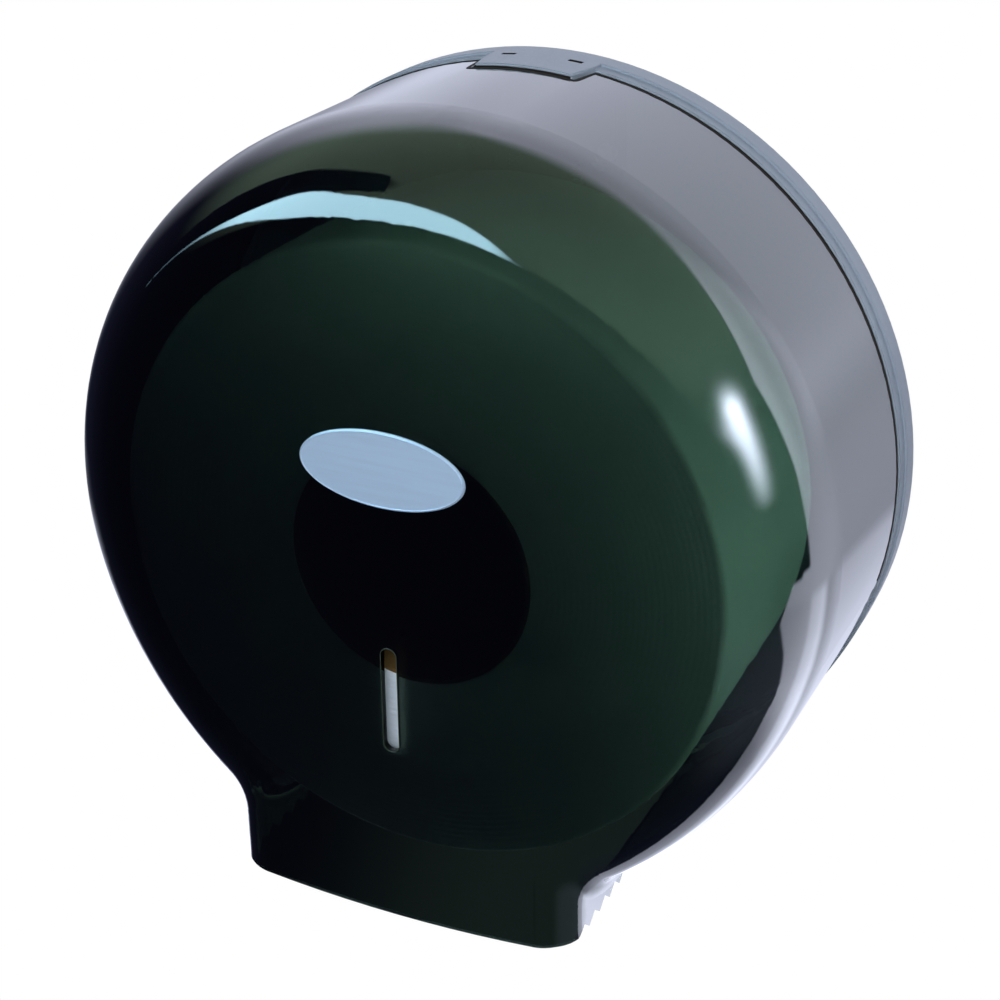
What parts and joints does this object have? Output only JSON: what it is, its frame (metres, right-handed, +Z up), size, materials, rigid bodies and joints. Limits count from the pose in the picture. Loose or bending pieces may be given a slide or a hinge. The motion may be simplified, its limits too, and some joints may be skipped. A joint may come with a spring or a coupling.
{
  "type": "jumbo toilet roll dispenser",
  "caption": "Round wall dispenser for a jumbo toilet roll: smoked drum cover with a toothed chute, hinged on a grey back plate, with a turning hub and a sprung latch.",
  "frame": {"origin": "middle of the wall screw pattern, on the wall side of the back plate, which is also the axis of the round pan", "axes": "+Y into the wall, +Z up, +X to the right as seen from the front"},
  "size_m": [0.2686, 0.1306, 0.2699],
  "materials": {
    "rim_plastic": "satin",
    "smoke_cover": "gloss",
    "badge_silver": "satin",
    "tissue": "matte",
    "core_card": "matte",
    "black_plastic": "satin",
    "bush_nylon": "satin",
    "felt": "matte",
    "zinc_steel": "satin"
  },
  "bodies": {
    "base": {"back_plate": "rim_plastic", "spindle_post": "black_plastic", "post_screw_1": "zinc_steel", "post_screw_2": "zinc_steel", "post_screw_3": "zinc_steel", "drag_washer": "felt", "hub_washer": "zinc_steel", "hub_screw": "zinc_steel", "lock_guide": "black_plastic", "lock_screw_left": "zinc_steel", "lock_screw_right": "zinc_steel", "latch_spring_left": "zinc_steel", "latch_spring_right": "zinc_steel"},
    "cover": {"front_cover": "smoke_cover", "badge_plate": "badge_silver", "hinge_pin_left": "zinc_steel", "hinge_pin_right": "zinc_steel"},
    "reel": {"spindle_hub": "black_plastic", "hub_bush_rear": "bush_nylon", "hub_bush_front": "bush_nylon", "hub_cap": "black_plastic", "cardboard_core": "core_card", "paper_roll": "tissue"},
    "latch": {"latch_slider": "black_plastic"}
  },
  "joints": [
    {"name": "cover_hinge", "type": "hinge", "parent": "base", "child": "cover", "pos_m": [0, -0.0097, -0.12625], "axis": [1, 0, 0], "range_deg": [0, 85]},
    {"name": "roll_spin", "type": "hinge", "parent": "base", "child": "reel", "pos_m": [0, -0.068, -0.0085], "axis": [0, 1, 0], "continuous": true},
    {"name": "latch_slide", "type": "slide", "parent": "base", "child": "latch", "axis": [0, 0, -1], "range_m": [0, 0.005], "stiffness_N_per_m": 800, "springref_m": -0.002, "deforming": ["latch_spring_left", "latch_spring_right"]}
  ]
}
